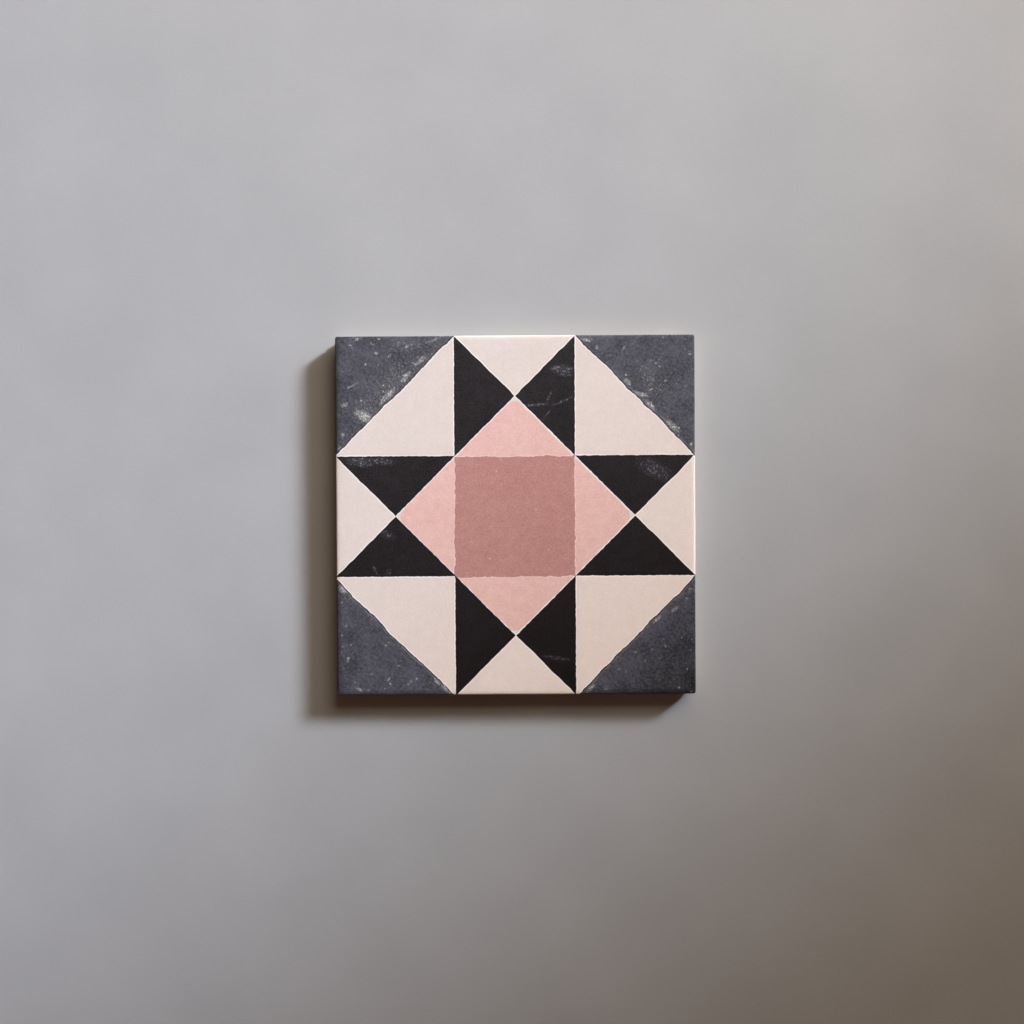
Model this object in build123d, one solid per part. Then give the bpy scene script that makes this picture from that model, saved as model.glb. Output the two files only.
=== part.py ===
"""A square pressed ceramic floor tile with a traditional star pattern on its face.

The tile lies on its back. The origin is the centre of the back's rest plane, +Z is up through
the face, and X and Y run along the sides. All sizes are in millimetres.
"""
import math
import os

from build123d import *

# Outline and section
FACE_SIDE = 200.0  # side at the widest line of the edge
THICKNESS = 10.0  # from the back's rest plane to the face
CORNER_RADIUS = 1.3  # upright corners, seen from above
CUSHION_WIDTH = 2.6  # how far in from the edge the face starts to fall away
CUSHION_DROP = 0.3  # how far it would have fallen at the edge
ARRIS_RADIUS = 0.7  # tight rounding where the cushion meets the side
BAND_HEIGHT = 4.2  # upright part of the side, below the face
BACK_INSET = 0.8  # how far each side has drawn in above the back's broken edge
BACK_CHAMFER = 0.4  # broken edge round the back

# Keyed back: a lattice of ribs round shallow pockets, which the adhesive grips
POCKETS_PER_SIDE = 6
RIB_WIDTH = 5.0  # flat top of a rib, on the rest plane
BACK_RIM = 10.5  # plain border of the back, outside the pockets
KEY_DEPTH = 0.9
POCKET_RADIUS = 3.5  # corners of a pocket's mouth
POCKET_DRAFT = 35.0  # slope of a pocket's walls, in degrees from upright

half_side = FACE_SIDE / 2
band_level = THICKNESS - BAND_HEIGHT
draft_height = band_level - BACK_CHAMFER
side_draft = math.degrees(math.atan2(BACK_INSET, draft_height))
back_side = FACE_SIDE - 2 * BACK_INSET
back_corner = CORNER_RADIUS - BACK_INSET
rest_side = back_side - 2 * BACK_CHAMFER
pocket_pitch = (rest_side - 2 * BACK_RIM + RIB_WIDTH) / POCKETS_PER_SIDE
pocket_side = pocket_pitch - RIB_WIDTH


def band_profile():
    """Section of the face band from side to side: flat face, cushioned edges, tight arrises."""
    cushion_start = half_side - CUSHION_WIDTH
    lip_level = THICKNESS - CUSHION_DROP
    face_line = Line((-cushion_start, THICKNESS), (cushion_start, THICKNESS))
    right_cushion = TangentArc((cushion_start, THICKNESS), (half_side, lip_level), tangent=(1, 0))
    left_cushion = mirror(right_cushion, Plane.YZ)
    foot = Polyline(
        (half_side, lip_level), (half_side, band_level), (-half_side, band_level), (-half_side, lip_level)
    )
    section = make_face([face_line, right_cushion, foot, left_cushion])
    lips = section.vertices().filter_by(lambda corner: abs(corner.Y - lip_level) < 0.01)
    return fillet(lips, ARRIS_RADIUS)


def face_band():
    """The section run both ways and crossed, so that the cushioned edges meet in mitres."""
    run = extrude(Plane.XZ * band_profile(), half_side, both=True)
    outline = Plane.XY.offset(band_level) * RectangleRounded(FACE_SIDE, FACE_SIDE, CORNER_RADIUS)
    return run & run.rotate(Axis.Z, 90) & extrude(outline, BAND_HEIGHT)


def drafted_root():
    """The lower part of the side: it draws in to the back, whose edge is broken."""
    outline = Plane.XY.offset(band_level) * RectangleRounded(FACE_SIDE, FACE_SIDE, CORNER_RADIUS)
    root = extrude(outline, -draft_height, taper=side_draft)
    back = Plane.XY.offset(BACK_CHAMFER) * RectangleRounded(back_side, back_side, back_corner)
    return root + extrude(back, -BACK_CHAMFER, taper=45)


def key_pockets():
    """Shallow drafted pockets on a square grid, widest at the rest plane."""
    mouth = RectangleRounded(pocket_side, pocket_side, POCKET_RADIUS)
    pocket = extrude(mouth, KEY_DEPTH, taper=POCKET_DRAFT)
    grid = GridLocations(pocket_pitch, pocket_pitch, POCKETS_PER_SIDE, POCKETS_PER_SIDE)
    return [place * pocket for place in grid]


tile_body = face_band() + drafted_root() - key_pockets()
print("solids", len(tile_body.solids()), "volume", round(tile_body.volume / 1000, 1), "cm3")
print("box", tile_body.bounding_box())
print("rib pitch", round(pocket_pitch, 2), "pocket side", round(pocket_side, 2))

os.makedirs("parts", exist_ok=True)
export_step(tile_body, "parts/tile_body.step")
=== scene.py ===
import math

import bmesh
import bpy
from mathutils import Matrix, Vector, noise


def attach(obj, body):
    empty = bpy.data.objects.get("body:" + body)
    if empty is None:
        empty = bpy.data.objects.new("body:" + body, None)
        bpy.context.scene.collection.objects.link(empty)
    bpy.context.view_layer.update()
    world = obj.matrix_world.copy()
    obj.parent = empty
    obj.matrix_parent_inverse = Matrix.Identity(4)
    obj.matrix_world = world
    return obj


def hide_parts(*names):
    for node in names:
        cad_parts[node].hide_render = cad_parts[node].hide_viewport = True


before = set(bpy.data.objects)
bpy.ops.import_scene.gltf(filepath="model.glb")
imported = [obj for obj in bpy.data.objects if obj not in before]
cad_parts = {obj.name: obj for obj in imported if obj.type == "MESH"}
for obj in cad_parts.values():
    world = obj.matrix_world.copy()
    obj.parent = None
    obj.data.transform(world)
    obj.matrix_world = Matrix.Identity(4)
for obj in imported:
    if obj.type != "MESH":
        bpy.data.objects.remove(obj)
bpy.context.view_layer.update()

print("stage 1: packed frame loaded", list(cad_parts))


# Small helpers

def linearColour(code):  # sRGB hex to the linear values the shaders want
    parts = [int(code[i:i + 2], 16) / 255 for i in (0, 2, 4)]
    return [c / 12.92 if c <= 0.04045 else ((c + 0.055) / 1.055) ** 2.4 for c in parts] + [1.0]


def addNode(tree, kind, feeds=None, **settings):
    # feeds: socket name or number -> a value, a socket, or a node (its first live output)
    node = tree.nodes.new(kind)
    for key, value in settings.items():
        setattr(node, key, value)
    for key, value in (feeds or {}).items():
        if isinstance(value, bpy.types.Node):
            value = next(out for out in value.outputs if out.enabled)
        if isinstance(value, bpy.types.NodeSocket):
            tree.links.new(value, node.inputs[key])
        else:
            node.inputs[key].default_value = value
    return node


def newMaterial(name):
    material = bpy.data.materials.new(name)
    material.use_nodes = True
    material.node_tree.nodes.clear()
    return material


def millimetres(tree):  # object coordinates in mm: the tile sits at the origin
    place = addNode(tree, "ShaderNodeTexCoord")
    return addNode(tree, "ShaderNodeVectorMath", {0: place.outputs["Object"], "Scale": 1000.0},
                   operation="SCALE")


# The tile's shape, in mm

tileShape = {
    "side": 200.0,
    "thickness": 10.0,
    "cornerRadius": 1.3,
    "cushionWidth": 2.6,
    "cushionDrop": 0.3,
    "arrisRadius": 0.7,
    "bandHeight": 4.2,
    "backInset": 0.8,
    "backChamfer": 0.4,
    "pocketsPerSide": 6,
    "ribWidth": 5.0,
    "backRim": 10.5,
    "keyDepth": 0.9,
    "pocketRadius": 3.5,
    "pocketDraft": 35.0,
    # mesh steps, and how far the fine steps of a corner run along the straight
    "steps": 96,  # along a side, 16 to a pocket
    "cornerSteps": 5,
    "cornerRun": 1.05,
    "rimEdge": 0.35,  # from the rest plane's edge to the first ring on it
    "cellCornerSteps": 4,
    "cellRun": 4.6,
    "pocketRun": 1.3,
    "floorInset": 3.4,  # from a pocket's mouth to the square grid of its floor
    "floorRun": 2.9,
    # firing leaves nothing quite flat: swings, and the lengths of their waves
    "faceSag": 0.035,
    "backSag": 0.02,
    "sideDrag": 0.05,
    "slowWave": 42.0,
    "quickWave": 8.0,
    "sagFrom": 5.9,  # above this height is the face band, and the glaze's material
    "sagFade": 3.0,
    "dragFrom": 0.3,
    "dragTo": 9.3,
}
bakeMap = {"sheet": 0.735, "margin": 0.006, "back": 0.245, "backCentre": 0.871}  # shares of the map
glazeSlot, sideSlot, backSlot = 0, 1, 2

flatHalf = tileShape["side"] / 2 - tileShape["cushionWidth"]
restHalf = tileShape["side"] / 2 - tileShape["backInset"] - tileShape["backChamfer"]


def ringPoint(step, steps, cornerSteps, half, radius, run):
    # a point of a rounded square, walked anticlockwise from its lower right corner
    side, along = divmod(step, steps)
    mirrored = along > steps / 2
    near = steps - along if mirrored else along
    arc = radius * math.pi / 4
    flat = half - radius
    x = half
    if near < cornerSteps:
        walked = (arc + run) * near / cornerSteps
        if walked < arc:
            turn = math.pi / 4 - walked / radius
            x = flat + radius * math.cos(turn)
            y = -flat - radius * math.sin(turn)
        else:
            y = walked - arc - flat
    else:
        y = (run - flat) * (1 - (near - cornerSteps) / (steps / 2 - cornerSteps))
    if mirrored:
        y = -y
    return [(x, y), (-y, x), (-x, -y), (y, -x)][side % 4]


def squareKeys(a, b, size):  # grid keys round a square, in ringPoint's order
    keys = [(a + size, b + j) for j in range(size)]
    keys += [(a + size - i, b + size) for i in range(size)]
    keys += [(a, b + size - j) for j in range(size)]
    keys += [(a + i, b) for i in range(size)]
    return keys


def closeRing(bm, outer, inner, slot):  # a band of faces between two rings
    for k in range(len(outer)):
        n = (k + 1) % len(outer)
        face = bm.faces.new((outer[k], inner[k], inner[n], outer[n]))
        face.material_index = slot


def sideSection(shape):
    # from the flat face out over the cushion and the arris, down the side to the rest plane
    # each row: half width, height, corner radius
    half = shape["side"] / 2
    top = shape["thickness"]
    width = shape["cushionWidth"]
    lip = shape["arrisRadius"]
    bend = (width ** 2 + shape["cushionDrop"] ** 2) / (2 * shape["cushionDrop"])
    lipTurn = math.asin((width - lip) / (bend - lip))
    lipLevel = top - bend + (bend - lip) * math.cos(lipTurn)
    rows = []
    for i in range(1, 7):  # cushion
        turn = lipTurn * i / 6
        rows.append((half - width + bend * math.sin(turn), top - bend + bend * math.cos(turn)))
    for i in range(1, 6):  # arris
        turn = lipTurn + (math.pi / 2 - lipTurn) * i / 5
        rows.append((half - lip + lip * math.sin(turn), lipLevel + lip * math.cos(turn)))
    corner = shape["cornerRadius"]
    section = [(h, z, corner * (h - half + width) / width) for h, z in rows]
    bandFoot = top - shape["bandHeight"]
    for z in (8.4, 7.6, 6.8, bandFoot + 0.15):  # upright band
        section.append((half, z, corner))
    chamfer = shape["backChamfer"]
    for share in (0.06, 0.3, 0.6, 0.94):  # drafted root
        z = bandFoot + (chamfer - bandFoot) * share
        inset = shape["backInset"] * share
        section.append((half - inset, z, corner - inset))
    section.append((restHalf + 0.27, 0.27, 0.45))  # broken edge of the back
    section.append((restHalf + 0.02, 0.02, 0.35))
    section.append((restHalf - shape["rimEdge"], 0.0, 0.3))
    return section


def pocketSection(shape):  # inset from the pocket's mouth, and height
    depth = shape["keyDepth"]
    slope = math.tan(math.radians(shape["pocketDraft"]))
    foot = depth * slope
    return [(-0.45, 0.0), (-0.14, 0.02), (0.02 + 0.12 * slope, 0.12), (foot * 0.82, depth * 0.82),
            (foot * 1.0, depth * 0.94), (foot * 1.35, depth), (foot * 2.6, depth)]


def addFace(bm, shape, unfolded):  # a square grid, closest at its corners; returns its outline
    steps = shape["steps"]
    lines = [ringPoint(j, steps, shape["cornerSteps"], flatHalf, 0.0, shape["cornerRun"])[1]
             for j in range(steps)] + [flatHalf]
    grid = [[bm.verts.new((x, y, shape["thickness"])) for y in lines] for x in lines]
    for column in grid:
        for v in column:
            unfolded[v] = (v.co.x, v.co.y)
    for i in range(steps):
        for j in range(steps):
            bm.faces.new((grid[i][j], grid[i + 1][j], grid[i + 1][j + 1], grid[i][j + 1]))
    return [grid[i][j] for i, j in squareKeys(0, 0, steps)]


def addSides(bm, shape, ring, unfolded):  # returns the lowest ring, and the way down to it
    steps, corner, run = shape["steps"], shape["cornerSteps"], shape["cornerRun"]
    walked = 0.0
    lastHalf, lastLevel = flatHalf, shape["thickness"]
    for half, level, radius in sideSection(shape):
        walked += math.hypot(half - lastHalf, level - lastLevel)
        lastHalf, lastLevel = half, level
        lower = []
        for k in range(len(ring)):
            v = bm.verts.new((*ringPoint(k, steps, corner, half, radius, run), level))
            unfolded[v] = ringPoint(k, steps, corner, flatHalf + walked, walked, run)
            lower.append(v)
        closeRing(bm, ring, lower, glazeSlot if level > shape["sagFrom"] else sideSlot)
        ring = lower
    return ring, walked


def addPocket(bm, shape, centreX, centreY, pitch, ring):
    size = len(ring) // 4
    corner = shape["cellCornerSteps"]
    mouth = (pitch - shape["ribWidth"]) / 2
    for inset, level in pocketSection(shape):
        inner = []
        for k in range(len(ring)):
            x, y = ringPoint(k, size, corner, mouth - inset, shape["pocketRadius"] - inset,
                             shape["pocketRun"])
            inner.append(bm.verts.new((centreX + x, centreY + y, level)))
        closeRing(bm, ring, inner, backSlot)
        ring = inner
    floorHalf = mouth - shape["floorInset"]
    lines = [ringPoint(j, size, corner, floorHalf, 0.0, shape["floorRun"])[1]
             for j in range(size)] + [floorHalf]
    floor = [[bm.verts.new((centreX + x, centreY + y, shape["keyDepth"])) for y in lines]
             for x in lines]
    closeRing(bm, ring, [floor[i][j] for i, j in squareKeys(0, 0, size)], backSlot)
    for i in range(size):
        for j in range(size):
            face = bm.faces.new((floor[i][j], floor[i][j + 1], floor[i + 1][j + 1],
                                 floor[i + 1][j]))
            face.material_index = backSlot


def addKeyedBack(bm, shape, ring):  # a plain rim, then a lattice of ribs round the pockets
    steps = shape["steps"]
    pockets = shape["pocketsPerSide"]
    pitch = (2 * restHalf - 2 * shape["backRim"] + shape["ribWidth"]) / pockets
    blockHalf = pitch * pockets / 2
    cellSteps = steps // pockets
    cellLines = [ringPoint(j, cellSteps, shape["cellCornerSteps"], pitch / 2, 0.0,
                           shape["cellRun"])[1] for j in range(cellSteps)]
    blockLines = [pitch * (c + 0.5) - blockHalf + y for c in range(pockets) for y in cellLines]
    blockLines.append(blockHalf)
    lattice = {}

    def latticeRing(a, b, size):
        keys = squareKeys(a, b, size)
        for i, j in keys:
            if (i, j) not in lattice:
                lattice[i, j] = bm.verts.new((blockLines[i], blockLines[j], 0.0))
        return [lattice[key] for key in keys]

    rimStart = restHalf - shape["rimEdge"]
    for share in (0.35, 0.7):  # rings across the rim
        half = rimStart + (blockHalf - rimStart) * share
        inner = [bm.verts.new((*ringPoint(k, steps, shape["cornerSteps"], half, 0.2,
                                          shape["cornerRun"]), 0.0)) for k in range(len(ring))]
        closeRing(bm, ring, inner, backSlot)
        ring = inner
    closeRing(bm, ring, latticeRing(0, 0, steps), backSlot)
    for a in range(pockets):
        for b in range(pockets):
            mouthRing = latticeRing(a * cellSteps, b * cellSteps, cellSteps)
            addPocket(bm, shape, pitch * (a + 0.5) - blockHalf, pitch * (b + 0.5) - blockHalf,
                      pitch, mouthRing)


def layOutMap(bm, unfolded, sheetHalf):
    # the flattened sheet of face and sides takes most of the map, and the back a corner of it
    sheetScale = bakeMap["sheet"] / (2 * sheetHalf)
    backScale = bakeMap["back"] / (2 * restHalf)
    layout = bm.loops.layers.uv.new("OFBake")
    for face in bm.faces:
        for loop in face.loops:
            if face.material_index == backSlot:
                place = [bakeMap["backCentre"] + c * backScale for c in loop.vert.co.xy]
            else:
                place = [bakeMap["margin"] + (c + sheetHalf) * sheetScale
                         for c in unfolded[loop.vert]]
            loop[layout].uv = place
        face.smooth = True


def settle(bm, shape):  # each surface wanders inwards by hundredths of a millimetre
    for v in bm.verts:
        x, y, z = v.co
        out = max(abs(x), abs(y))
        slow = 0.5 + 0.5 * noise.noise(Vector((x, y, z)) / shape["slowWave"])
        quick = 0.5 + 0.5 * noise.noise(Vector((x, y, z * 0.3)) / shape["quickWave"])
        if z > shape["sagFrom"]:
            fade = min(1.0, (z - shape["sagFrom"]) / shape["sagFade"])
            v.co.z -= shape["faceSag"] * (0.75 * slow + 0.25 * quick) * fade
        elif z < shape["backChamfer"] or out < restHalf:
            v.co.z += shape["backSag"] * quick
        if shape["dragFrom"] < z < shape["dragTo"] and out > restHalf:
            draw = 1 - shape["sideDrag"] * quick / (shape["side"] / 2)
            v.co.x *= draw
            v.co.y *= draw


def buildTile(shape):
    bm = bmesh.new()
    unfolded = {}  # vertex -> place on the flattened sheet of face and sides, in mm
    outline = addFace(bm, shape, unfolded)
    foot, walked = addSides(bm, shape, outline, unfolded)
    addKeyedBack(bm, shape, foot)
    layOutMap(bm, unfolded, flatHalf + walked)
    settle(bm, shape)
    for v in bm.verts:
        v.co *= 0.001  # to metres
    mesh = bpy.data.meshes.new("pressedTile")
    bm.to_mesh(mesh)
    bm.free()
    tile = bpy.data.objects.new("pressedTile", mesh)
    bpy.context.scene.collection.objects.link(tile)
    return tile


tile = buildTile(tileShape)
print("stage 2: tile built,", len(tile.data.polygons), "faces")


# The body: dust-pressed stoneware, fired once

bodyFinish = {
    "clay": "BCAD9A",
    "paleClay": "C8BCAB",
    "darkClay": "A69480",
    "ironSpeck": "6E5A48",
    "kilnWash": "DDD7CC",
    "pocketTone": "A58C71",
    # sizes of the patterns, in mm
    "cloud": 9.0,
    "grain": 0.7,
    "speckCell": 1.9,
    "pitCell": 1.4,
}


def firedClay(tree, place):
    # clouds of 9 mm, grain of 0.7 mm, and in one cell of seven an iron speck of 0.5 mm
    cloud = addNode(tree, "ShaderNodeTexNoise",
                    {"Vector": place, "Scale": 1 / bodyFinish["cloud"], "Detail": 3.0})
    grain = addNode(tree, "ShaderNodeTexNoise",
                    {"Vector": place, "Scale": 1 / bodyFinish["grain"], "Detail": 4.0})
    cloudy = addNode(tree, "ShaderNodeMapRange", {0: cloud, 1: 0.3, 2: 0.7})
    grainy = addNode(tree, "ShaderNodeMapRange", {0: grain, 1: 0.35, 2: 0.75})
    colour = addNode(tree, "ShaderNodeMix", {0: cloudy, 6: linearColour(bodyFinish["clay"]),
                                             7: linearColour(bodyFinish["paleClay"])}, data_type="RGBA")
    grained = addNode(tree, "ShaderNodeMath", {0: grainy, 1: 0.35}, operation="MULTIPLY")
    colour = addNode(tree, "ShaderNodeMix", {0: grained, 6: colour,
                                             7: linearColour(bodyFinish["darkClay"])}, data_type="RGBA")
    cells = addNode(tree, "ShaderNodeTexVoronoi",
                    {"Vector": place, "Scale": 1 / bodyFinish["speckCell"]})
    pick = addNode(tree, "ShaderNodeSeparateColor", {0: cells.outputs["Color"]})
    rare = addNode(tree, "ShaderNodeMath", {0: pick.outputs[0], 1: 0.86}, operation="GREATER_THAN")
    dot = addNode(tree, "ShaderNodeMapRange", {0: cells.outputs["Distance"], 1: 0.16, 2: 0.08})
    speck = addNode(tree, "ShaderNodeMath", {0: rare, 1: dot}, operation="MULTIPLY")
    speck = addNode(tree, "ShaderNodeMath", {0: speck, 1: 0.6}, operation="MULTIPLY")
    colour = addNode(tree, "ShaderNodeMix", {0: speck, 6: colour,
                                             7: linearColour(bodyFinish["ironSpeck"])}, data_type="RGBA")
    return colour, grainy, cloudy


# The face: the traditional star, printed in four colours over a cream ground

# each ink's colour as it lies upper left, and lower right: partly the print's own variation, partly
# painted light, a painted sheen upper left and painted shade lower right
starInks = {
    "cream": ("E6DAD3", "F5E1D4"),
    "creamGrain": ("D6C9C0", "E5D0BF"),
    "creamEdge": ("F1EEEB", "F6EFE8"),
    "black": ("332F33", "150704"),
    "blackEdge": ("100C0A", "030202"),
    "pink": ("F0CCC2", "EAC3B6"),
    "pinkDeep": ("DAABA0", "D2A090"),
    "pinkEdge": ("F3D6CE", "EED0C6"),
    "rose": ("C8978F", "C38F86"),
    "roseDeep": ("A9746C", "A36C63"),
    "roseSpeck": ("DDB6AE", "D6ABA1"),
    "slate": ("5A5B64", "3D3C40"),
    "slateDark": ("3C3C43", "1C1A1C"),
    "slatePale": ("868792", "757786"),
    "slateEdge": ("2A272A", "131012"),
    "wornPale": ("CFCDC9", "B4B3B6"),
    "wornBeige": ("928D83", "7D7160"),
    "scuffBlue": ("8E8E9C", "73727D"),
}

starPrint = {
    # each colour was laid by hand, so each has its own shift in mm and its own reach
    "gridShift": (-0.28, -0.34),
    "gridHalf": 33.52,
    "starShift": (-0.09, -0.29),
    "starReach": 66.87,
    "outerShift": (-0.12, -0.26),
    "outerReach": 66.52,
    "pinkShift": (-0.29, -0.49),
    "pinkReach": 66.07,
    "roseShift": (-0.47, -0.81),
    "roseHalf": 33.44,
    "roseLean": (0.006, -0.0066),  # its right side to the right, its top upwards to the right
    "slateShift": (-0.29, -0.68),
    "slateReach": 134.04,
    # how the cut edges wander: pairs of wave length and swing, both in mm
    "gridWaves": ((70.0, 0.6), (2.6, 0.9)),
    "outerWaves": ((60.0, 0.5), (6.0, 1.15)),
    "pinkWaves": ((60.0, 0.5), (6.0, 1.25), (1.5, 0.5)),
    "roseWaves": ((11.0, 2.6), (2.2, 1.6), (0.9, 0.9)),
    "slateWaves": ((17.0, 3.6), (3.2, 1.3)),
    "tipBlunt": 0.25,
    "pinkTip": 2.3,  # the pink stops this far short of the star's inner points
    "pinkBlunt": 0.6,
    "edgeSoftness": 0.13,
    "glazeEdge": 8.2,  # height where the glaze stops on the side
    "printEdge": 8.9,
}

# sizes of the patterns in the inks, in mm
inkPattern = {
    "cloud": 18.0,
    "blotch": 4.5,
    "grain": 0.9,
    "fleckCell": 3.4,
    "haze": 11.0,
    "mottle": 1.7,
    "flake": 1.1,
    "dustCell": 1.0,
    "drip": 6.0,
}

slateWearAndShade = {
    "bloomFrom": 38.0,  # mm from the long edge, where the bloom begins
    "bloomFull": 2.0,
    "bloom": 0.32,
    "bandFrom": 6.0,  # mm from the long edge, where the worn band begins
    "bandFull": 1.0,
    "band": 0.42,
    "flakes": 0.44,
    "bareFrom": 0.6,
    "bareFull": 0.9,
    "shadeFrom": -96.4,  # mm, where the painted shade begins at the left and lower side
    "shadeFull": -99.6,
}

# rubbed places: x, y, half length and half width in mm, direction in degrees, strength
rubbedPlaces = [
    # upper left corner
    (-84.4, 55.8, 6.8, 3.4, -30, 1.25),
    (-78.2, 51.6, 3.6, 1.8, 45, 0.8),
    (-71.0, 66.9, 8.5, 2.2, 48, 0.95),
    (-60.6, 77.6, 6.0, 2.0, 45, 0.9),
    (-53.2, 85.6, 6.5, 1.8, 42, 0.95),
    (-94.8, 61.8, 3.2, 1.6, 10, 0.9),
    (-90.4, 72.6, 4.6, 0.8, 26, 0.85),
    (-85.5, 64.3, 0.9, 0.8, 0, 1.1),
    (-77.1, 90.4, 1.3, 1.1, 0, 1.3),
    (-79.4, 95.8, 2.4, 0.7, -45, 0.9),
    (-75.6, 98.4, 1.6, 0.8, -30, 1.1),
    (-87.8, 98.2, 3.0, 0.9, 30, 0.95),
    (-91.7, 95.0, 1.7, 0.6, 0, 1.1),
    (-64.6, 96.4, 1.1, 0.9, 0, 0.95),
    (-60.2, 93.8, 1.3, 0.7, 55, 1.05),
    (-60.0, 94.6, 16.0, 4.2, 0, 0.42),
    (-71.8, 73.0, 36.0, 8.0, 45, 0.42),
    (-45.6, 97.4, 5.8, 1.3, 20, 0.8),
    (-69.6, 88.9, 2.4, 1.0, 40, 0.8),
    (-82.9, 84.4, 1.0, 1.2, 30, 0.85),
    (-68.5, 81.6, 2.4, 1.9, 60, 0.6),
    (-95.9, 45.2, 1.3, 2.6, 10, 0.9),
    (-97.8, 37.4, 1.6, 2.4, 0, 0.9),
    # upper right corner
    (62.3, 74.2, 3.4, 1.7, -45, 0.95),
    (70.6, 66.9, 4.8, 1.5, -14, 1.1),
    (75.4, 60.6, 5.0, 1.8, -50, 0.85),
    (75.6, 69.6, 2.2, 0.6, 30, 1.0),
    (76.0, 73.0, 17.0, 6.5, -45, 0.36),
    (87.2, 49.6, 6.2, 2.2, -45, 0.9),
    (98.0, 38.9, 1.8, 1.4, 80, 0.95),
    (40.0, 97.2, 4.4, 1.6, -10, 0.8),
    (45.7, 93.2, 1.0, 1.6, -10, 0.9),
    (60.4, 92.3, 2.4, 0.6, 52, 1.0),
    (97.2, 89.0, 0.9, 0.8, 0, 1.2),
    # lower left corner
    (-96.6, -40.4, 3.2, 2.4, -35, 1.6),
    (-86.0, -48.4, 9.0, 0.7, -43, 0.85),
    (-66.0, -67.2, 17.0, 0.6, -43, 0.8),
    (-44.3, -92.2, 2.8, 1.3, -50, 1.3),
    (-38.6, -97.0, 4.6, 1.6, -38, 1.4),
    (-71.3, -91.2, 2.0, 0.7, 45, 1.35),
    (-55.7, -91.1, 1.4, 0.6, 45, 1.2),
    (-87.4, -96.9, 2.8, 0.9, -35, 1.25),
    (-93.8, -80.0, 2.6, 1.3, 70, 0.85),
    # lower right corner
    (88.4, -52.8, 3.8, 1.6, 30, 0.95),
    (78.8, -58.2, 5.0, 1.1, 43, 1.0),
    (41.6, -96.6, 4.6, 1.3, 40, 1.05),
    (50.0, -97.0, 1.8, 1.2, 20, 0.9),
    (83.0, -73.1, 0.9, 1.8, 20, 1.0),
    (75.8, -75.1, 0.9, 0.7, 0, 1.0),
    (95.0, -46.8, 0.9, 0.8, 0, 1.15),
    (96.8, -42.4, 1.6, 2.6, -20, 0.65),
    # the black points
    (26.4, 81.0, 6.4, 2.4, -3, 0.95),
    (28.1, 77.8, 4.4, 1.0, -3, 0.5),
    (11.4, 61.3, 6.6, 0.8, 4, 0.8),
    (18.7, 65.2, 4.0, 0.7, 67, 0.7),
    (26.9, 63.5, 6.6, 0.8, 23, 0.8),
    (17.3, 55.6, 4.6, 0.6, 50, 0.7),
    (-85.8, 30.4, 7.8, 2.9, -4, 0.95),
    (-75.4, 30.6, 8.0, 2.2, -4, 0.65),
    (77.5, 25.4, 11.0, 4.6, -28, 0.5),
    (-72.0, -10.0, 5.2, 2.4, -30, 0.45),
    (-78.4, -30.2, 3.0, 0.8, -60, 0.7),
    (-70.9, -31.2, 2.4, 1.6, 60, 0.55),
    (22.4, -79.6, 8.0, 1.2, -8, 0.45),
]


def foldedField(tree, place, laid, shift, waves, seed):
    # the whole star repeats eight times, so distances are taken in one folded eighth of the face
    moved = laid
    for size, swing in waves:
        sway = [addNode(tree, "ShaderNodeTexNoise",
                        {"Vector": place, "W": seed + offset, "Scale": 1 / size, "Detail": 1.5},
                        noise_dimensions="4D") for offset in (0.0, 17.0)]
        sway = addNode(tree, "ShaderNodeCombineXYZ", {0: sway[0], 1: sway[1]})
        moved = addNode(tree, "ShaderNodeVectorMath", {0: sway, 1: (swing, swing, 0.0), 2: moved},
                        operation="MULTIPLY_ADD")
    drift = sum(swing for size, swing in waves) / 2
    moved = addNode(tree, "ShaderNodeVectorMath",
                    {0: moved, 1: (-shift[0] - drift, -shift[1] - drift, 0.0)}, operation="ADD")
    folded = addNode(tree, "ShaderNodeVectorMath", {0: moved}, operation="ABSOLUTE")
    axes = addNode(tree, "ShaderNodeSeparateXYZ", {0: folded})
    x, y = axes.outputs[0], axes.outputs[1]
    far = addNode(tree, "ShaderNodeMath", {0: x, 1: y}, operation="MAXIMUM")
    near = addNode(tree, "ShaderNodeMath", {0: x, 1: y}, operation="MINIMUM")
    return {"far": far, "near": near,
            "sum": addNode(tree, "ShaderNodeMath", {0: x, 1: y}, operation="ADD"),
            "lean": addNode(tree, "ShaderNodeMath", {0: far, 1: near}, operation="SUBTRACT")}


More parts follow.
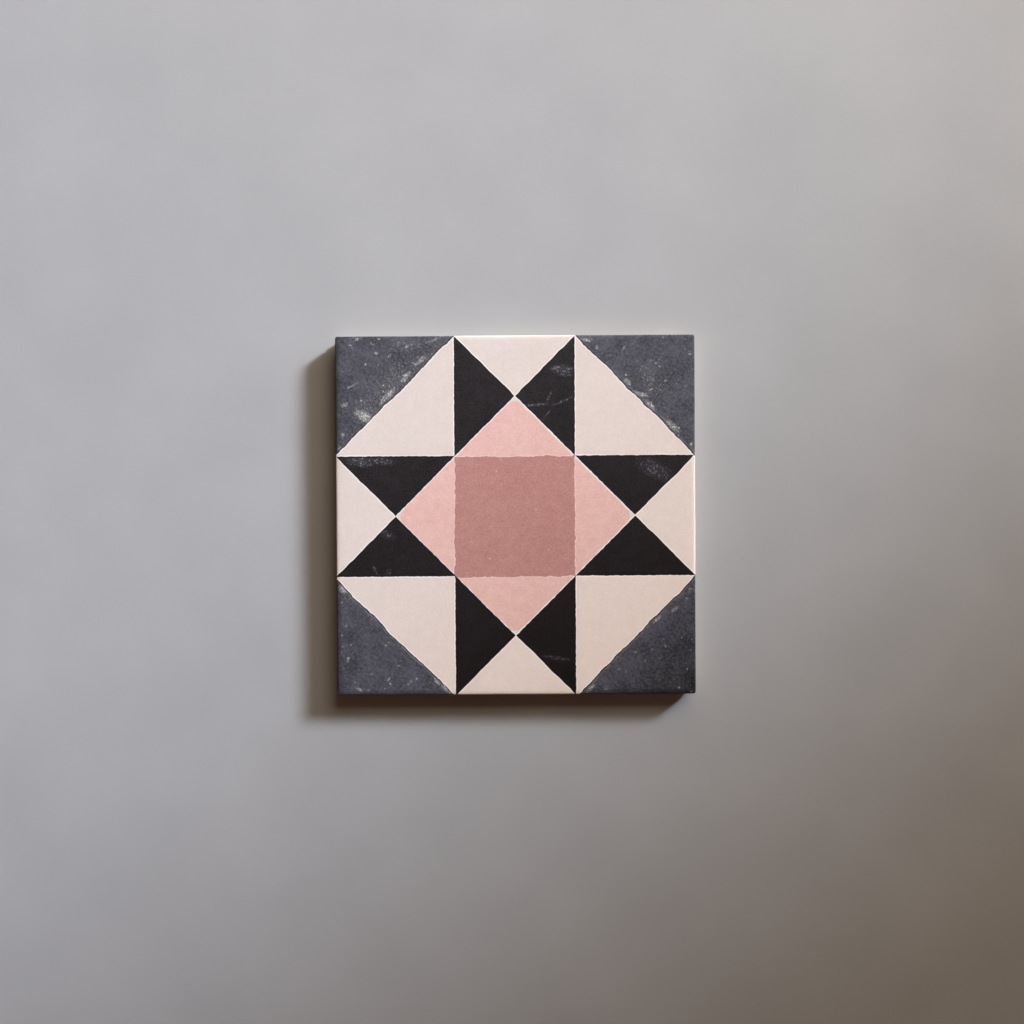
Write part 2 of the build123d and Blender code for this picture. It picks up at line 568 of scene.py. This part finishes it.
def printedShapes(tree, place):
    # distances in mm to the edge of each colour, above zero inside it
    laid = starPrint
    root2 = math.sqrt(2)
    grid = foldedField(tree, place, place, laid["gridShift"], laid["gridWaves"], 1.0)
    star = foldedField(tree, place, place, laid["starShift"], laid["gridWaves"], 1.0)
    outer = foldedField(tree, place, place, laid["outerShift"], laid["outerWaves"], 2.0)
    pinkField = foldedField(tree, place, place, laid["pinkShift"], laid["pinkWaves"], 3.0)
    slateField = foldedField(tree, place, place, laid["slateShift"], laid["slateWaves"], 5.0)
    # the middle square leans a little
    turned = addNode(tree, "ShaderNodeVectorRotate", {"Vector": place, "Angle": math.pi / 2},
                     rotation_type="Z_AXIS")
    tilt = addNode(tree, "ShaderNodeVectorMath", {0: turned, 1: (*laid["roseLean"], 0.0), 2: place},
                   operation="MULTIPLY_ADD")
    roseField = foldedField(tree, place, tilt, laid["roseShift"], laid["roseWaves"], 4.0)

    toGrid = addNode(tree, "ShaderNodeMath", {0: laid["gridHalf"], 1: grid["near"]},
                     operation="SUBTRACT")
    toStar = addNode(tree, "ShaderNodeMath", {0: star["sum"], 1: 1 / root2,
                                              2: -laid["starReach"] / root2}, operation="MULTIPLY_ADD")
    toOuter = addNode(tree, "ShaderNodeMath", {0: outer["lean"], 1: -1 / root2,
                                               2: laid["outerReach"] / root2}, operation="MULTIPLY_ADD")
    inBlack = addNode(tree, "ShaderNodeMath", {0: toGrid, 1: toStar, 2: laid["tipBlunt"]},
                      operation="SMOOTH_MIN")
    inBlack = addNode(tree, "ShaderNodeMath", {0: inBlack, 1: toOuter, 2: laid["tipBlunt"]},
                      operation="SMOOTH_MIN")
    inPink = addNode(tree, "ShaderNodeMath", {0: pinkField["sum"], 1: -1 / root2,
                                              2: laid["pinkReach"] / root2}, operation="MULTIPLY_ADD")
    pinkCap = addNode(tree, "ShaderNodeMath", {0: laid["pinkReach"] - laid["pinkTip"],
                                               1: pinkField["far"]}, operation="SUBTRACT")
    inPink = addNode(tree, "ShaderNodeMath", {0: inPink, 1: pinkCap, 2: laid["pinkBlunt"]},
                     operation="SMOOTH_MIN")
    inRose = addNode(tree, "ShaderNodeMath", {0: laid["roseHalf"], 1: roseField["far"]},
                     operation="SUBTRACT")
    inSlate = addNode(tree, "ShaderNodeMath", {0: slateField["sum"], 1: 1 / root2,
                                               2: -laid["slateReach"] / root2},
                      operation="MULTIPLY_ADD")
    return {"black": inBlack, "pink": inPink, "rose": inRose, "slate": inSlate}


def rubbedMask(tree, place):
    mask = 0.0
    for x, y, long, wide, turn, strength in rubbedPlaces:
        local = addNode(tree, "ShaderNodeVectorRotate",
                        {"Vector": place, "Center": (x, y, 0.0), "Angle": -math.radians(turn)},
                        rotation_type="Z_AXIS")
        local = addNode(tree, "ShaderNodeVectorMath",
                        {0: local, 1: (1 / long, 1 / wide, 0.0), 2: (-x / long, -y / wide, 0.0)},
                        operation="MULTIPLY_ADD")
        reach = addNode(tree, "ShaderNodeVectorMath", {0: local}, operation="LENGTH")
        spot = addNode(tree, "ShaderNodeMapRange",
                       {0: reach.outputs["Value"], 1: 1.35, 2: 0.15, 4: strength},
                       interpolation_type="SMOOTHSTEP")
        mask = addNode(tree, "ShaderNodeMath", {0: mask, 1: spot}, operation="MAXIMUM")
    return mask


def inkAndShadeGrades(tree, place):
    # how the inks change across the face, partly their own variation and partly painted light, a painted
    # sheen upper left and painted shade lower right: from 0 at the upper left to 1 at the lower right,
    # slowly at first
    slope = addNode(tree, "ShaderNodeVectorMath", {0: place, 1: (0.35, -0.65, 0.0)},
                    operation="DOT_PRODUCT").outputs["Value"]
    slope = addNode(tree, "ShaderNodeMapRange", {0: slope, 1: -92.0, 2: 92.0})
    inkAndShadeGrade = addNode(tree, "ShaderNodeMath", {0: slope, 1: 2.0}, operation="POWER")
    blackInkAndSheenGrade = addNode(tree, "ShaderNodeMapRange", {0: slope, 1: 0.25, 2: 1.0})
    # the slate's grade, its own variation and painted shade, grows more toward the right
    slateInkAndShadeGrade = addNode(tree, "ShaderNodeVectorMath", {0: place, 1: (0.65, -0.35, 0.0)},
                         operation="DOT_PRODUCT").outputs["Value"]
    slateInkAndShadeGrade = addNode(tree, "ShaderNodeMapRange", {0: slateInkAndShadeGrade, 1: -10.0, 2: 80.0})
    slateInkAndShadeGrade = addNode(tree, "ShaderNodeMath", {0: slateInkAndShadeGrade, 1: 2.0}, operation="POWER")
    return {"slope": slope, "all": inkAndShadeGrade, "black": blackInkAndSheenGrade, "slate": slateInkAndShadeGrade}


def ink(tree, name, grade):  # between an ink's upper left and lower right colours, partly painted sheen and shade
    # the first colour is the upper left one, with painted sheen; the second the lower right one, with
    # painted shade
    thinInkAndSheen, lowerRightInk = starInks[name]
    return addNode(tree, "ShaderNodeMix", {0: grade, 6: linearColour(thinInkAndSheen), 7: linearColour(lowerRightInk)},
                   data_type="RGBA")


def inkGrain(tree, place):
    # every ink has mostly a grain of 0.9 mm, then blotches of 4.5 mm and clouds of 18 mm
    cloud = addNode(tree, "ShaderNodeTexNoise",
                    {"Vector": place, "Scale": 1 / inkPattern["cloud"], "Detail": 3.0})
    grain = addNode(tree, "ShaderNodeTexNoise",
                    {"Vector": place, "Scale": 1 / inkPattern["grain"], "Detail": 3.0,
                     "Roughness": 0.6})
    blotch = addNode(tree, "ShaderNodeTexNoise",
                     {"Vector": place, "Scale": 1 / inkPattern["blotch"], "Detail": 4.0,
                      "Roughness": 0.6})
    cloudy = addNode(tree, "ShaderNodeMapRange", {0: cloud, 1: 0.35, 2: 0.65})
    grainy = addNode(tree, "ShaderNodeMapRange", {0: grain, 1: 0.3, 2: 0.7})
    blotchy = addNode(tree, "ShaderNodeMapRange", {0: blotch, 1: 0.35, 2: 0.65})
    uneven = addNode(tree, "ShaderNodeMath", {0: cloudy, 1: 0.1}, operation="MULTIPLY")
    uneven = addNode(tree, "ShaderNodeMath", {0: blotchy, 1: 0.2, 2: uneven},
                     operation="MULTIPLY_ADD")
    uneven = addNode(tree, "ShaderNodeMath", {0: grainy, 1: 0.7, 2: uneven},
                     operation="MULTIPLY_ADD")
    return uneven, grainy, blotchy


def creamGround(tree, inside, uneven, grade):
    cream = addNode(tree, "ShaderNodeMix", {0: uneven, 6: ink(tree, "cream", grade),
                                            7: ink(tree, "creamGrain", grade)}, data_type="RGBA")
    # a little lighter in a line beside the dark colours
    nearest = addNode(tree, "ShaderNodeMath", {0: inside["black"], 1: inside["slate"]},
                      operation="MAXIMUM")
    paleLine = addNode(tree, "ShaderNodeMapRange", {0: nearest, 1: -0.75, 2: -0.35, 4: 0.85},
                       interpolation_type="SMOOTHSTEP")
    return addNode(tree, "ShaderNodeMix", {0: paleLine, 6: cream, 7: ink(tree, "creamEdge", grade)},
                   data_type="RGBA")


def pinkInk(tree, inside, uneven, grade):  # with a paler line beside the rose
    pink = addNode(tree, "ShaderNodeMix", {0: uneven, 6: ink(tree, "pink", grade),
                                           7: ink(tree, "pinkDeep", grade)}, data_type="RGBA")
    roseLine = addNode(tree, "ShaderNodeMapRange", {0: inside["rose"], 1: -0.8, 2: -0.25, 4: 0.6},
                       interpolation_type="SMOOTHSTEP")
    return addNode(tree, "ShaderNodeMix", {0: roseLine, 6: pink, 7: ink(tree, "pinkEdge", grade)},
                   data_type="RGBA")


def paleFlecks(tree, place):
    # one fleck in each cell of 3.4 mm, each with a size and a strength of its own
    slanted = addNode(tree, "ShaderNodeMapping", {0: place, 2: (0.0, 0.0, math.radians(45))})
    cells = addNode(tree, "ShaderNodeTexVoronoi",
                    {"Vector": slanted, "Scale": 1 / inkPattern["fleckCell"]})
    pick = addNode(tree, "ShaderNodeSeparateColor", {0: cells.outputs["Color"]})
    size = addNode(tree, "ShaderNodeMapRange", {0: pick.outputs[0], 1: 0.0, 2: 1.0, 3: 0.02, 4: 0.19})
    fleck = addNode(tree, "ShaderNodeMath", {0: size, 1: cells.outputs["Distance"]},
                    operation="SUBTRACT")
    fleck = addNode(tree, "ShaderNodeMapRange", {0: fleck, 1: -0.09, 2: 0.09},
                    interpolation_type="SMOOTHSTEP")
    return slanted, fleck, pick.outputs[1]


def roseInk(tree, uneven, fleck, strength, grade):  # with pinholes at the stronger flecks
    pinhole = addNode(tree, "ShaderNodeMapRange", {0: strength, 1: 0.45, 2: 0.95, 4: 0.75})
    pinhole = addNode(tree, "ShaderNodeMath", {0: pinhole, 1: fleck}, operation="MULTIPLY")
    rose = addNode(tree, "ShaderNodeMix", {0: uneven, 6: ink(tree, "rose", grade),
                                           7: ink(tree, "roseDeep", grade)}, data_type="RGBA")
    return addNode(tree, "ShaderNodeMix", {0: pinhole, 6: rose, 7: ink(tree, "roseSpeck", grade)},
                   data_type="RGBA")


def slateInk(tree, place, slanted, fleck, strength, distance, grade):
    # hazy at 11 mm and mottled at 1.7 mm, both on a slant, and thin in spots of 1 mm
    haze = addNode(tree, "ShaderNodeTexNoise",
                   {"Vector": slanted, "Scale": 1 / inkPattern["haze"], "Detail": 2.0})
    mottle = addNode(tree, "ShaderNodeTexNoise",
                     {"Vector": slanted, "Scale": 1 / inkPattern["mottle"], "Detail": 4.0,
                      "Roughness": 0.7})
    mottled = addNode(tree, "ShaderNodeMath", {0: haze, 1: 0.5, 2: mottle}, operation="MULTIPLY_ADD")
    mottled = addNode(tree, "ShaderNodeMapRange", {0: mottled, 1: 0.61, 2: 0.89})
    slate = addNode(tree, "ShaderNodeMix", {0: mottled, 6: ink(tree, "slateDark", grade),
                                            7: ink(tree, "slate", grade)}, data_type="RGBA")
    flake = addNode(tree, "ShaderNodeTexNoise",
                    {"Vector": slanted, "Scale": 1 / inkPattern["flake"], "Detail": 3.0,
                     "Roughness": 0.7})
    # specks up to 1 mm wide, one in each cell of 1 mm, for the worn places
    dust = addNode(tree, "ShaderNodeTexVoronoi",
                   {"Vector": place, "Scale": 1 / inkPattern["dustCell"]})
    dustSize = addNode(tree, "ShaderNodeSeparateColor", {0: dust.outputs["Color"]})
    speck = addNode(tree, "ShaderNodeMath", {0: dustSize.outputs[0], 1: 0.55}, operation="MULTIPLY")
    speck = addNode(tree, "ShaderNodeMath", {0: speck, 1: dust.outputs["Distance"]},
                    operation="SUBTRACT")
    speck = addNode(tree, "ShaderNodeMapRange", {0: speck, 1: -0.16, 2: 0.16})
    thinInkAndSheen = addNode(tree, "ShaderNodeMapRange", {0: flake, 1: 0.57, 2: 0.78, 4: 0.6})
    slate = addNode(tree, "ShaderNodeMix", {0: thinInkAndSheen, 6: slate, 7: ink(tree, "slatePale", grade)},
                    data_type="RGBA")
    # the pale flecks, few of them bright
    strong = addNode(tree, "ShaderNodeMath", {0: strength, 1: 2.2}, operation="POWER")
    strong = addNode(tree, "ShaderNodeMath", {0: strong, 1: fleck}, operation="MULTIPLY")
    chipped = addNode(tree, "ShaderNodeMapRange", {0: flake, 1: 0.38, 2: 0.56, 3: 0.25})
    strong = addNode(tree, "ShaderNodeMath", {0: strong, 1: chipped}, operation="MULTIPLY")
    slate = addNode(tree, "ShaderNodeMix", {0: strong, 6: slate, 7: ink(tree, "wornPale", grade)},
                    data_type="RGBA")
    # a faint bluish bloom that grows with the slate's grade toward the lower right, strongest beside the
    # long edge
    bloom = addNode(tree, "ShaderNodeMapRange", {0: distance, 1: slateWearAndShade["bloomFrom"],
                                                 2: slateWearAndShade["bloomFull"], 4: slateWearAndShade["bloom"]})
    bloom = addNode(tree, "ShaderNodeMath", {0: bloom, 1: grade}, operation="MULTIPLY")
    flecked = addNode(tree, "ShaderNodeMapRange", {0: mottled, 3: 0.45})
    bloom = addNode(tree, "ShaderNodeMath", {0: bloom, 1: flecked}, operation="MULTIPLY")
    slate = addNode(tree, "ShaderNodeMix", {0: bloom, 6: slate, 7: ink(tree, "slatePale", grade)},
                    data_type="RGBA")
    return slate, flake, speck


def wornSlate(tree, slate, distance, rubbed, blotchy, flake, speck, grade):
    # rubbed places and a worn band beside the long edge let the ground through in specks
    bandIn = addNode(tree, "ShaderNodeMapRange", {0: distance, 1: 0.6, 2: 1.4},
                     interpolation_type="SMOOTHSTEP")
    bandOut = addNode(tree, "ShaderNodeMapRange", {0: distance, 1: slateWearAndShade["bandFrom"],
                                                   2: slateWearAndShade["bandFull"]})
    band = addNode(tree, "ShaderNodeMath", {0: bandIn, 1: bandOut}, operation="MULTIPLY")
    band = addNode(tree, "ShaderNodeMath", {0: band, 1: blotchy}, operation="MULTIPLY")
    bare = addNode(tree, "ShaderNodeMath", {0: band, 1: slateWearAndShade["band"], 2: rubbed},
                   operation="MULTIPLY_ADD")
    bare = addNode(tree, "ShaderNodeMath", {0: bare, 1: slateWearAndShade["flakes"], 2: flake},
                   operation="MULTIPLY_ADD")
    worn = addNode(tree, "ShaderNodeMapRange", {0: bare, 1: slateWearAndShade["bareFrom"],
                                                2: slateWearAndShade["bareFull"], 4: 0.95})
    speckled = addNode(tree, "ShaderNodeMapRange", {0: speck, 3: 0.3, 4: 1.0})
    worn = addNode(tree, "ShaderNodeMath", {0: worn, 1: speckled}, operation="MULTIPLY")
    wornTint = addNode(tree, "ShaderNodeMapRange", {0: bare, 1: 0.7, 2: 0.92})
    wornTint = addNode(tree, "ShaderNodeMix", {0: wornTint, 6: ink(tree, "wornBeige", grade),
                                               7: ink(tree, "wornPale", grade)}, data_type="RGBA")
    return addNode(tree, "ShaderNodeMix", {0: worn, 6: slate, 7: wornTint}, data_type="RGBA")


def edgedSlate(tree, place, slate, distance, blotchy, slope, grade):
    # a dark line where the ink piled up, and a brownish one just inside it
    fringe = addNode(tree, "ShaderNodeMath", {0: distance, 1: 1.1, 2: 0.4}, operation="COMPARE")
    fringe = addNode(tree, "ShaderNodeMath", {0: fringe, 1: blotchy}, operation="MULTIPLY")
    brown = addNode(tree, "ShaderNodeMapRange", {0: slope, 1: 0.3, 2: 0.6, 3: 0.15, 4: 0.6})
    fringe = addNode(tree, "ShaderNodeMath", {0: fringe, 1: brown}, operation="MULTIPLY")
    slate = addNode(tree, "ShaderNodeMix", {0: fringe, 6: slate, 7: ink(tree, "wornBeige", grade)},
                    data_type="RGBA")
    slateLine = addNode(tree, "ShaderNodeMapRange", {0: distance, 1: 0.8, 2: 0.35, 4: 0.85},
                        interpolation_type="SMOOTHSTEP")
    slate = addNode(tree, "ShaderNodeMix", {0: slateLine, 6: slate, 7: ink(tree, "slateEdge", grade)},
                    data_type="RGBA")
    # painted shade: the slate is darkened along the left and the lower side of the tile, the sides
    # turned from the light
    sides = addNode(tree, "ShaderNodeSeparateXYZ", {0: place})
    side = addNode(tree, "ShaderNodeMath", {0: sides.outputs[0], 1: sides.outputs[1]},
                   operation="MINIMUM")
    side = addNode(tree, "ShaderNodeMapRange", {0: side, 1: slateWearAndShade["shadeFrom"],
                                                2: slateWearAndShade["shadeFull"], 4: 0.5})
    return addNode(tree, "ShaderNodeMix", {0: side, 6: slate, 7: ink(tree, "slateEdge", grade)},
                   data_type="RGBA")


def blackInk(tree, distance, uneven, rubbed, speck, grades):
    # nearly even, scuffed to a bluish grey in fine specks, with a darker line at its edge
    # its colour runs from a painted sheen upper left to painted shade lower right
    black = addNode(tree, "ShaderNodeMix", {0: uneven, 6: ink(tree, "black", grades["black"]),
                                            7: ink(tree, "blackEdge", grades["black"])},
                    data_type="RGBA")
    scuff = addNode(tree, "ShaderNodeMapRange", {0: speck, 3: 0.12, 4: 1.1})
    scuff = addNode(tree, "ShaderNodeMath", {0: scuff, 1: rubbed}, operation="MULTIPLY")
    black = addNode(tree, "ShaderNodeMix", {0: scuff, 6: black,
                                            7: ink(tree, "scuffBlue", grades["all"])},
                    data_type="RGBA")
    blackLine = addNode(tree, "ShaderNodeMapRange", {0: distance, 1: 1.0, 2: 0.3, 4: 0.8},
                        interpolation_type="SMOOTHSTEP")
    return addNode(tree, "ShaderNodeMix", {0: blackLine, 6: black,
                                           7: ink(tree, "blackEdge", grades["all"])},
                   data_type="RGBA")


def glazeOnSide(tree, place, colour, grade):
    # on the side the print stops first, then the cream glaze, and the clay shows below
    height = addNode(tree, "ShaderNodeSeparateXYZ", {0: place}).outputs[2]
    drip = addNode(tree, "ShaderNodeTexNoise",
                   {"Vector": place, "Scale": 1 / inkPattern["drip"], "Detail": 2.0})
    level = addNode(tree, "ShaderNodeMath", {0: drip, 1: 0.9, 2: height}, operation="MULTIPLY_ADD")
    level = addNode(tree, "ShaderNodeMath", {0: level, 1: 0.45}, operation="SUBTRACT")
    printed = addNode(tree, "ShaderNodeMapRange", {0: level, 1: starPrint["printEdge"] - 0.15,
                                                   2: starPrint["printEdge"] + 0.15})
    glazed = addNode(tree, "ShaderNodeMapRange", {0: level, 1: starPrint["glazeEdge"] - 0.1,
                                                  2: starPrint["glazeEdge"] + 0.1})
    clay = firedClay(tree, place)[0]
    colour = addNode(tree, "ShaderNodeMix", {0: printed, 6: ink(tree, "cream", grade), 7: colour},
                     data_type="RGBA")
    colour = addNode(tree, "ShaderNodeMix", {0: glazed, 6: clay, 7: colour}, data_type="RGBA")
    return colour, glazed


def printedGlaze():
    # matt glaze over a cream ground, screen printed: no shine, crisp but hand-cut colour edges,
    # a fine grain in every colour, and the ground showing where the slate and black are rubbed
    material = newMaterial("screenPrintedMattGlaze")
    tree = material.node_tree
    place = millimetres(tree)
    # the grades carry painted light: a painted sheen upper left and painted shade lower right, with the
    # inks' own variation
    grades = inkAndShadeGrades(tree, place)
    inside = printedShapes(tree, place)
    soft = starPrint["edgeSoftness"]
    masks = {name: addNode(tree, "ShaderNodeMapRange", {0: distance, 1: -soft, 2: soft})
             for name, distance in inside.items()}
    uneven, grainy, blotchy = inkGrain(tree, place)

    colour = creamGround(tree, inside, uneven, grades["all"])
    pink = pinkInk(tree, inside, uneven, grades["all"])
    colour = addNode(tree, "ShaderNodeMix", {0: masks["pink"], 6: colour, 7: pink}, data_type="RGBA")
    slanted, fleck, strength = paleFlecks(tree, place)
    rose = roseInk(tree, uneven, fleck, strength, grades["all"])
    colour = addNode(tree, "ShaderNodeMix", {0: masks["rose"], 6: colour, 7: rose}, data_type="RGBA")
    slate, flake, speck = slateInk(tree, place, slanted, fleck, strength, inside["slate"],
                                   grades["slate"])
    rubbed = rubbedMask(tree, place)
    slate = wornSlate(tree, slate, inside["slate"], rubbed, blotchy, flake, speck, grades["slate"])
    slate = edgedSlate(tree, place, slate, inside["slate"], blotchy, grades["slope"],
                       grades["slate"])
    colour = addNode(tree, "ShaderNodeMix", {0: masks["slate"], 6: colour, 7: slate},
                     data_type="RGBA")
    black = blackInk(tree, inside["black"], uneven, rubbed, speck, grades)
    colour = addNode(tree, "ShaderNodeMix", {0: masks["black"], 6: colour, 7: black},
                     data_type="RGBA")
    colour, glazed = glazeOnSide(tree, place, colour, grades["all"])

    rough = addNode(tree, "ShaderNodeMapRange", {0: grainy, 3: 0.5, 4: 0.6})
    rough = addNode(tree, "ShaderNodeMix", {0: glazed, 2: 0.82, 3: rough})
    relief = addNode(tree, "ShaderNodeMath", {0: blotchy, 1: 0.5, 2: grainy}, operation="MULTIPLY_ADD")
    bump = addNode(tree, "ShaderNodeBump", {"Height": relief, "Strength": 0.5, "Distance": 0.000012})
    shader = addNode(tree, "ShaderNodeBsdfPrincipled",
                     {"Base Color": colour, "Roughness": rough, "IOR": 1.5,
                      "Specular IOR Level": 0.22, "Normal": bump})
    addNode(tree, "ShaderNodeOutputMaterial", {0: shader})
    return material


def pressedSide():
    # bare stoneware pressed in a steel die: matt, with fine upright drag lines from the ejection
    material = newMaterial("dustPressedStoneware")
    tree = material.node_tree
    place = millimetres(tree)
    colour, grainy = firedClay(tree, place)[:2]
    stretched = addNode(tree, "ShaderNodeMapping", {0: place, 3: (2.2, 2.2, 0.12)})
    drag = addNode(tree, "ShaderNodeTexNoise", {"Vector": stretched, "Scale": 1.0, "Detail": 3.0})
    relief = addNode(tree, "ShaderNodeMath", {0: drag, 1: 1.5, 2: grainy}, operation="MULTIPLY_ADD")
    bump = addNode(tree, "ShaderNodeBump", {"Height": relief, "Strength": 0.6, "Distance": 0.00003})
    rough = addNode(tree, "ShaderNodeMapRange", {0: grainy, 3: 0.76, 4: 0.88})
    shader = addNode(tree, "ShaderNodeBsdfPrincipled", {"Base Color": colour, "Roughness": rough,
                                                        "IOR": 1.5, "Normal": bump})
    addNode(tree, "ShaderNodeOutputMaterial", {0: shader})
    return material


def keyedBack():
    # the same stoneware as it left the kiln rollers: white wash rubbed onto the ribs, warmer pockets
    material = newMaterial("kilnWashedStoneware")
    tree = material.node_tree
    place = millimetres(tree)
    colour, grainy, cloudy = firedClay(tree, place)
    height = addNode(tree, "ShaderNodeSeparateXYZ", {0: place}).outputs[2]
    # darker and warmer toward the pocket floors
    deep = addNode(tree, "ShaderNodeMapRange", {0: height, 1: 0.15, 2: 0.85, 4: 0.4})
    deep = addNode(tree, "ShaderNodeMath", {0: deep, 1: cloudy}, operation="MULTIPLY")
    colour = addNode(tree, "ShaderNodeMix", {0: deep, 6: colour, 7: linearColour(bodyFinish["pocketTone"])},
                     data_type="RGBA")
    streak = addNode(tree, "ShaderNodeMapping", {0: place, 3: (0.09, 0.6, 1.0)})
    washed = addNode(tree, "ShaderNodeTexNoise", {"Vector": streak, "Scale": 1.0, "Detail": 5.0,
                                                  "Roughness": 0.65})
    washed = addNode(tree, "ShaderNodeMapRange", {0: washed, 1: 0.42, 2: 0.62, 4: 0.7})
    onRib = addNode(tree, "ShaderNodeMapRange", {0: height, 1: 0.12, 2: 0.03})
    wash = addNode(tree, "ShaderNodeMath", {0: washed, 1: onRib}, operation="MULTIPLY")
    colour = addNode(tree, "ShaderNodeMix", {0: wash, 6: colour,
                                             7: linearColour(bodyFinish["kilnWash"])}, data_type="RGBA")
    pits = addNode(tree, "ShaderNodeTexVoronoi",
                   {"Vector": place, "Scale": 1 / bodyFinish["pitCell"]})
    pit = addNode(tree, "ShaderNodeMapRange", {0: pits.outputs["Distance"], 1: 0.08, 2: 0.2})
    relief = addNode(tree, "ShaderNodeMath", {0: pit, 1: 1.2, 2: grainy}, operation="MULTIPLY_ADD")
    bump = addNode(tree, "ShaderNodeBump", {"Height": relief, "Strength": 0.6, "Distance": 0.00004})
    rough = addNode(tree, "ShaderNodeMapRange", {0: wash, 3: 0.8, 4: 0.95})
    shader = addNode(tree, "ShaderNodeBsdfPrincipled", {"Base Color": colour, "Roughness": rough,
                                                        "IOR": 1.5, "Normal": bump})
    addNode(tree, "ShaderNodeOutputMaterial", {0: shader})
    return material


for material in (printedGlaze(), pressedSide(), keyedBack()):
    tile.data.materials.append(material)
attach(tile, "root")
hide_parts("tile_body")
print("stage 3: glaze, side and back finished")


# Floor, light and camera

studio = {
    # places and sizes in metres, angles in degrees
    "floorColour": "AAAAAA",
    "floorSize": 12.0,
    "floorCloud": 60.0,  # mm
    # a gridded window light low on the right, its long side along the picture's height
    "keyPlace": (1.457, 1.575, 0.773),
    "keyAim": (-0.343, 0.185, 0.0),
    "keySize": (0.973, 0.547),
    "keySpread": 15.24,
    "keyPower": 4.77,
    "keyColour": (0.794, 0.865, 1.0),
    # a pale wall beyond the top of the picture
    "fillPlace": (0.575, 1.131, 0.769),
    "fillSize": (1.156, 0.919),
    "fillPower": 15.7,
    "fillColour": (1.0, 0.876, 0.689),
    "roomColour": (0.088, 0.048, 0.031),
    "cameraPlace": (0.000407, 0.008224, 0.56400),
    "cameraTurn": (-0.6607, 0.2438, -0.3185),
    "lens": 35.0,  # mm
}


def layFloor():
    # trowelled plaster, sealed matt: an even pale grey with faint clouds
    mesh = bpy.data.meshes.new("plasterFloor")
    half = studio["floorSize"] / 2
    mesh.from_pydata([(-half, -half, 0), (half, -half, 0), (half, half, 0), (-half, half, 0)], [],
                     [(0, 1, 2, 3)])
    floor = bpy.data.objects.new("plasterFloor", mesh)
    bpy.context.scene.collection.objects.link(floor)
    material = newMaterial("trowelledPlaster")
    tree = material.node_tree
    place = millimetres(tree)
    cloud = addNode(tree, "ShaderNodeTexNoise",
                    {"Vector": place, "Scale": 1 / studio["floorCloud"], "Detail": 4.0})
    base = linearColour(studio["floorColour"])
    tone = addNode(tree, "ShaderNodeMapRange", {0: cloud, 1: 0.3, 2: 0.7, 3: 0.96, 4: 1.04})
    colour = addNode(tree, "ShaderNodeVectorMath", {0: base[:3], "Scale": tone}, operation="SCALE")
    shader = addNode(tree, "ShaderNodeBsdfPrincipled", {"Base Color": colour, "Roughness": 0.85})
    addNode(tree, "ShaderNodeOutputMaterial", {0: shader})
    floor.data.materials.append(material)


def addLamp(name, place, aim, along, size, power, colour):  # a soft box, its width along an axis
    lamp = bpy.data.lights.new(name, "AREA")
    lamp.shape = "RECTANGLE"
    lamp.size, lamp.size_y = size
    lamp.energy = power
    lamp.color = colour
    stand = bpy.data.objects.new(name, lamp)
    back = (Vector(place) - Vector(aim)).normalized()
    across = (Vector(along) - back * Vector(along).dot(back)).normalized()
    stand.location = place
    stand.rotation_euler = Matrix((across, back.cross(across), back)).transposed().to_euler()
    bpy.context.scene.collection.objects.link(stand)
    return lamp


def setLights():
    key = addLamp("windowKey", studio["keyPlace"], studio["keyAim"], (0.0, 1.0, 0.0), studio["keySize"],
                  studio["keyPower"], studio["keyColour"])
    key.spread = math.radians(studio["keySpread"])
    addLamp("wallFill", studio["fillPlace"], (0.0, 0.0, 0.0), (1.0, 0.0, 0.0), studio["fillSize"],
            studio["fillPower"], studio["fillColour"])
    world = bpy.data.worlds.new("dimRoom")
    world.use_nodes = True
    world.node_tree.nodes["Background"].inputs[0].default_value = (*studio["roomColour"], 1.0)
    bpy.context.scene.world = world


def setCamera():
    lens = bpy.data.cameras.new("aboveTile")
    lens.lens = studio["lens"]
    lens.sensor_width = 36.0
    lens.clip_start = 0.01
    camera = bpy.data.objects.new("aboveTile", lens)
    camera.location = studio["cameraPlace"]
    camera.rotation_euler = [math.radians(a) for a in studio["cameraTurn"]]
    bpy.context.scene.collection.objects.link(camera)
    bpy.context.scene.camera = camera


layFloor()
setLights()
setCamera()
bpy.context.scene.view_settings.view_transform = "Standard"
print("stage 4: floor, light and camera set")
